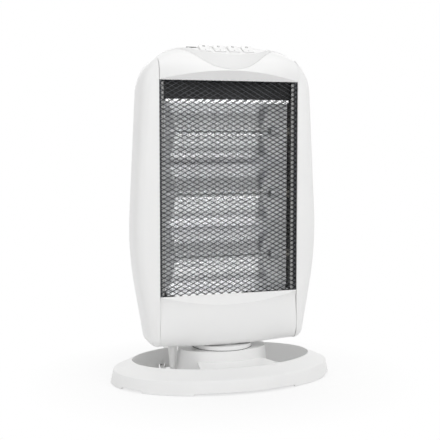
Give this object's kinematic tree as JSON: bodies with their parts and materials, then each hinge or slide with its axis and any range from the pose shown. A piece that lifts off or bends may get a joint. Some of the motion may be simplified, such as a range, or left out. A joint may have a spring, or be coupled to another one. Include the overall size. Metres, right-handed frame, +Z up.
{
  "type": "oscillating_radiant_heater",
  "caption": "White oscillating halogen radiant heater: oval base, turning head with diamond wire grille, trough reflector, quartz tubes and rocker keys on top",
  "frame": {"origin": "middle of the base on the floor, on the axis about which the head turns", "axes": "+Z up, the grille faces -Y, +X to the right of someone who looks at the grille"},
  "size_m": [0.34, 0.367, 0.4933],
  "materials": {
    "white_housing": "satin white moulded plastic",
    "white_keys": "glossy white moulded plastic",
    "grey_plastic": "plain grey moulded plastic",
    "white_pvc": "soft white sheath",
    "black_rubber": "soft black rubber",
    "black_wrap": "black woven wrap",
    "plated_steel": "bright plated steel",
    "chromed_wire": "bright plated steel wire",
    "bright_aluminium": "polished sheet",
    "bare_steel": "galvanised sheet",
    "dark_steel": "dark heat-proof paint",
    "quartz_glass": "clear quartz",
    "white_ceramic": "unglazed white ceramic",
    "smoked_lens": "smoked translucent plastic"
  },
  "bodies": {
    "base": {"base_shell": "white_housing", "cord_coil": "white_pvc", "cord_lead": "white_pvc", "cord_tie": "black_wrap", "cover_screws": "plated_steel", "fixed_gear": "grey_plastic", "foot_pads": "black_rubber", "pedestal_cover": "grey_plastic", "plug_body": "white_pvc", "plug_pins": "plated_steel", "thrust_washer": "grey_plastic"},
    "head": {"chassis_plate": "bare_steel", "control_deck": "white_housing", "filaments": "bare_steel", "grille_frame": "chromed_wire", "grille_mesh": "chromed_wire", "heat_shield": "bare_steel", "lower_fascia": "white_housing", "neck_screws": "plated_steel", "neck_turntable": "white_housing", "oscillation_motor": "bare_steel", "pilot_lamp": "quartz_glass", "pilot_lens": "smoked_lens", "rear_cover": "white_housing", "rear_cover_screws": "plated_steel", "reflector": "bright_aluminium", "reflector_end_left": "bright_aluminium", "reflector_end_right": "bright_aluminium", "retaining_ring": "plated_steel", "strain_relief": "white_pvc", "switch_bodies": "grey_plastic", "terminal_block": "grey_plastic", "thermal_cutout": "bare_steel", "tilt_switch": "grey_plastic", "tube_bottom": "quartz_glass", "tube_bracket_left": "bare_steel", "tube_bracket_right": "bare_steel", "tube_caps": "white_ceramic", "tube_middle": "quartz_glass", "tube_top": "quartz_glass", "upper_baffle": "dark_steel", "upper_fascia": "white_housing", "wing_left": "white_housing", "wing_right": "white_housing", "wiring_harness": "black_wrap"},
    "key_1": {"rocker_1": "white_keys"},
    "key_2": {"rocker_2": "white_keys"},
    "key_3": {"rocker_3": "white_keys"},
    "key_4": {"rocker_4": "white_keys"},
    "pinion": {"drive_pinion": "grey_plastic"}
  },
  "joints": [
    {"name": "oscillate", "type": "hinge", "parent": "base", "child": "head", "pos_m": [0, 0, 0.047], "axis": [0, 0, 1], "range_deg": [-35, 35]},
    {"name": "press_key_1", "type": "hinge", "parent": "head", "child": "key_1", "pos_m": [-0.0364, -0.02616, 0.48404], "axis": [1, 0, 0], "range_deg": [-16, 0]},
    {"name": "press_key_2", "type": "hinge", "parent": "head", "child": "key_2", "pos_m": [-0.0144, -0.02616, 0.48404], "axis": [1, 0, 0], "range_deg": [-16, 0]},
    {"name": "press_key_3", "type": "hinge", "parent": "head", "child": "key_3", "pos_m": [0.0076, -0.02616, 0.48404], "axis": [1, 0, 0], "range_deg": [-16, 0]},
    {"name": "press_key_4", "type": "hinge", "parent": "head", "child": "key_4", "pos_m": [0.0296, -0.02616, 0.48404], "axis": [1, 0, 0], "range_deg": [-16, 0]},
    {"name": "turn_pinion", "type": "hinge", "parent": "head", "child": "pinion", "pos_m": [0, 0.02415, 0.05], "axis": [0, 0, 1], "range_deg": [-105, 105]}
  ],
  "couplings": [
    {"joint": "turn_pinion", "follows": "oscillate", "ratio": 3}
  ]
}
